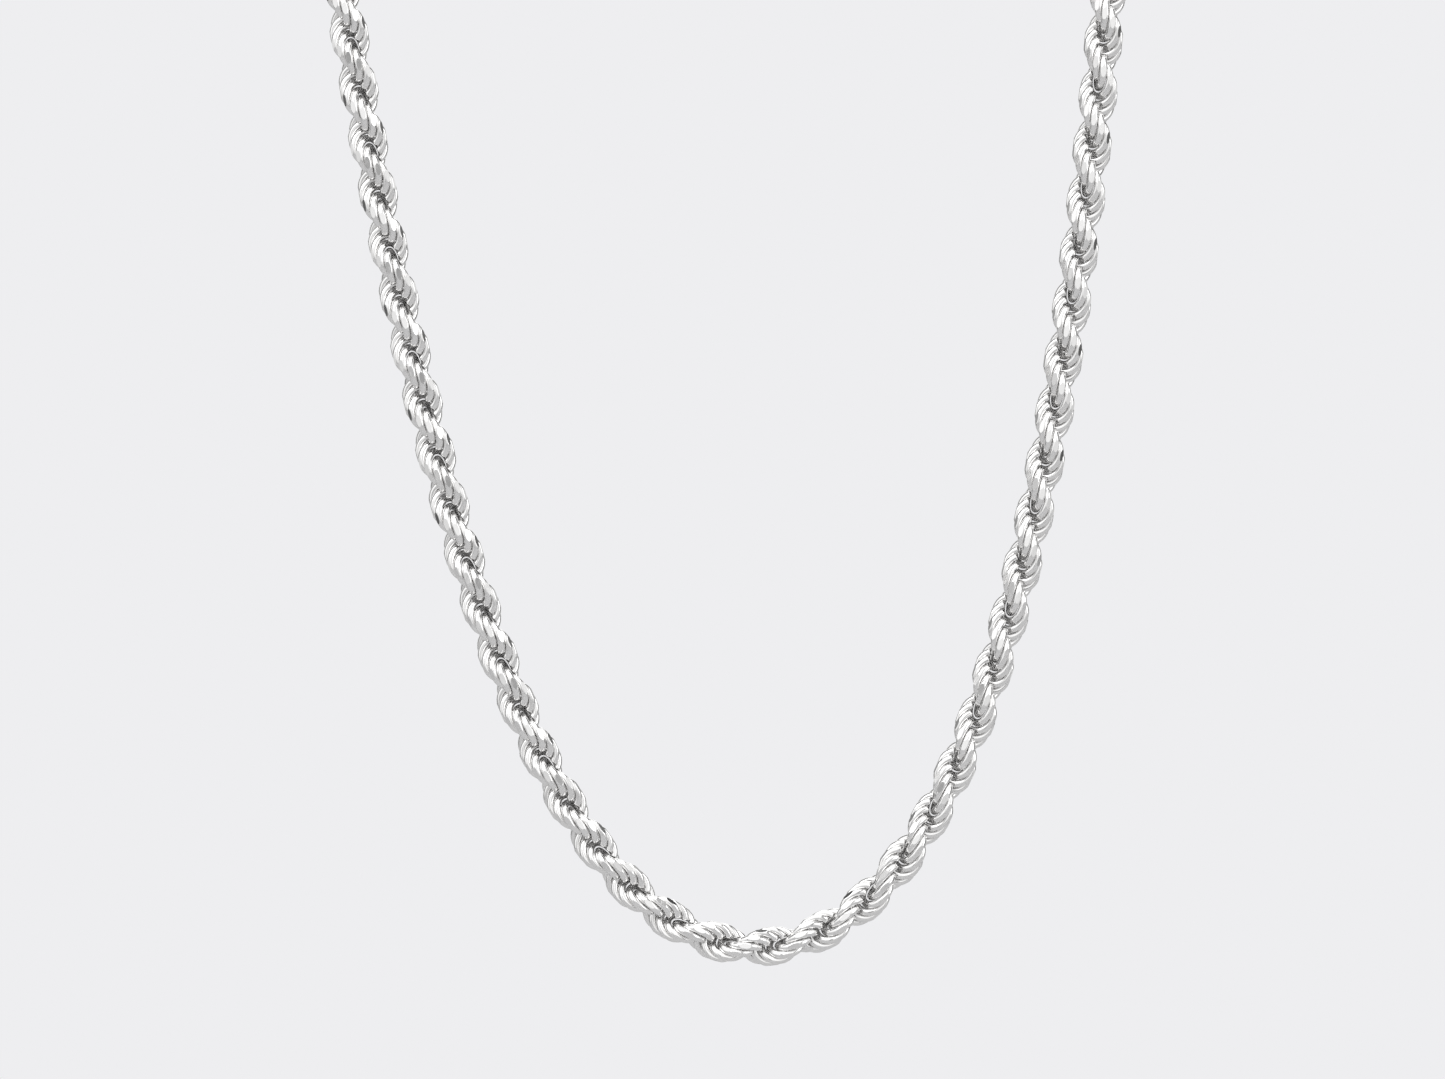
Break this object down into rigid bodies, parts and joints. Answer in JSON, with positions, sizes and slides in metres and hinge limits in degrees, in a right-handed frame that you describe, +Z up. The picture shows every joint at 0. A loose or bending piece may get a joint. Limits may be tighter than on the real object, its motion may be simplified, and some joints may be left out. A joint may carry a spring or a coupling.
{
  "type": "chain necklace",
  "caption": "Rope-chain necklace of twisted open links with end caps and a sprung lobster clasp, hanging as a long U-shaped loop.",
  "frame": {"origin": "centre of the round arch of the chain, where the neck goes through", "axes": "+X to the wearer's left, +Y from the front of the hanging loop to its back, +Z up towards the clasp"},
  "size_m": [0.1078, 0.0064, 0.2134],
  "materials": {
    "silver": "polished, with diamond-cut facets",
    "spring_steel": "drawn wire"
  },
  "bodies": {
    "neck_arch": {"arch_rope_left_1": "silver", "arch_rope_left_2": "silver", "arch_rope_left_3": "silver", "arch_rope_right_1": "silver", "arch_rope_right_2": "silver", "arch_rope_right_3": "silver", "end_cap_left": "silver", "end_cap_right": "silver", "bend_left_1": "silver", "bend_right_1": "silver"},
    "drape_1": {"run_left_1": "silver", "run_right_1": "silver", "bend_left_2": "silver", "bend_right_2": "silver"},
    "drape_2": {"run_left_2": "silver", "run_right_2": "silver", "bend_left_3": "silver", "bend_right_3": "silver"},
    "drape_3": {"run_left_3": "silver", "run_right_3": "silver", "bend_left_4": "silver", "bend_right_4": "silver"},
    "drape_4": {"run_left_4": "silver", "run_right_4": "silver", "bend_left_5": "silver", "bend_right_5": "silver"},
    "drape_5": {"run_left_5": "silver", "run_right_5": "silver", "bend_left_6": "silver", "bend_right_6": "silver"},
    "drape_6": {"run_left_6": "silver", "run_right_6": "silver", "bend_left_7": "silver", "bend_right_7": "silver"},
    "drape_7": {"bottom_left": "silver", "bottom_centre": "silver", "bottom_right": "silver"},
    "clasp_ring": {"clasp_ring": "silver"},
    "clasp": {"clasp_casing": "silver", "clasp_rivet": "silver", "clasp_spring": "spring_steel"},
    "clasp_lever": {"clasp_lever": "silver"},
    "catch_ring": {"catch_ring": "silver"}
  },
  "joints": [
    {"name": "drape_1", "type": "hinge", "parent": "neck_arch", "child": "drape_1", "pos_m": [0, 0, -0.01535], "axis": [1, 0, 0], "range_deg": [-30, 30], "deforming": ["bend_left_1", "bend_right_1"]},
    {"name": "drape_2", "type": "hinge", "parent": "drape_1", "child": "drape_2", "pos_m": [0, 0, -0.03656], "axis": [1, 0, 0], "range_deg": [-30, 30], "deforming": ["bend_left_2", "bend_right_2"]},
    {"name": "drape_3", "type": "hinge", "parent": "drape_2", "child": "drape_3", "pos_m": [0, 0, -0.05772], "axis": [1, 0, 0], "range_deg": [-30, 30], "deforming": ["bend_left_3", "bend_right_3"]},
    {"name": "drape_4", "type": "hinge", "parent": "drape_3", "child": "drape_4", "pos_m": [0, 0, -0.0788], "axis": [1, 0, 0], "range_deg": [-30, 30], "deforming": ["bend_left_4", "bend_right_4"]},
    {"name": "drape_5", "type": "hinge", "parent": "drape_4", "child": "drape_5", "pos_m": [0, 0, -0.0997], "axis": [1, 0, 0], "range_deg": [-30, 30], "deforming": ["bend_left_5", "bend_right_5"]},
    {"name": "drape_6", "type": "hinge", "parent": "drape_5", "child": "drape_6", "pos_m": [0, 0, -0.12025], "axis": [1, 0, 0], "range_deg": [-30, 30], "deforming": ["bend_left_6", "bend_right_6"]},
    {"name": "drape_7", "type": "hinge", "parent": "drape_6", "child": "drape_7", "pos_m": [0, 0, -0.13978], "axis": [1, 0, 0], "range_deg": [-30, 30], "deforming": ["bend_left_7", "bend_right_7"]},
    {"name": "clasp_ring_roll", "type": "hinge", "parent": "neck_arch", "child": "clasp_ring", "pos_m": [-0.00827, 0, 0.05067], "axis": [1, 0, 0], "range_deg": [-15, 15]},
    {"name": "clasp_roll", "type": "hinge", "parent": "neck_arch", "child": "clasp", "pos_m": [-0.00038, 0, 0.05067], "axis": [1, 0, 0], "range_deg": [-20, 20]},
    {"name": "catch_ring_roll", "type": "hinge", "parent": "neck_arch", "child": "catch_ring", "pos_m": [0.00752, 0, 0.05067], "axis": [1, 0, 0], "range_deg": [-15, 15]},
    {"name": "lever_pivot", "type": "hinge", "parent": "clasp", "child": "clasp_lever", "pos_m": [-0.00127, 0, 0.05187], "axis": [0, 1, 0], "range_deg": [0, 28], "stiffness_Nm_per_rad": 0.004, "springref_deg": -17.19}
  ]
}
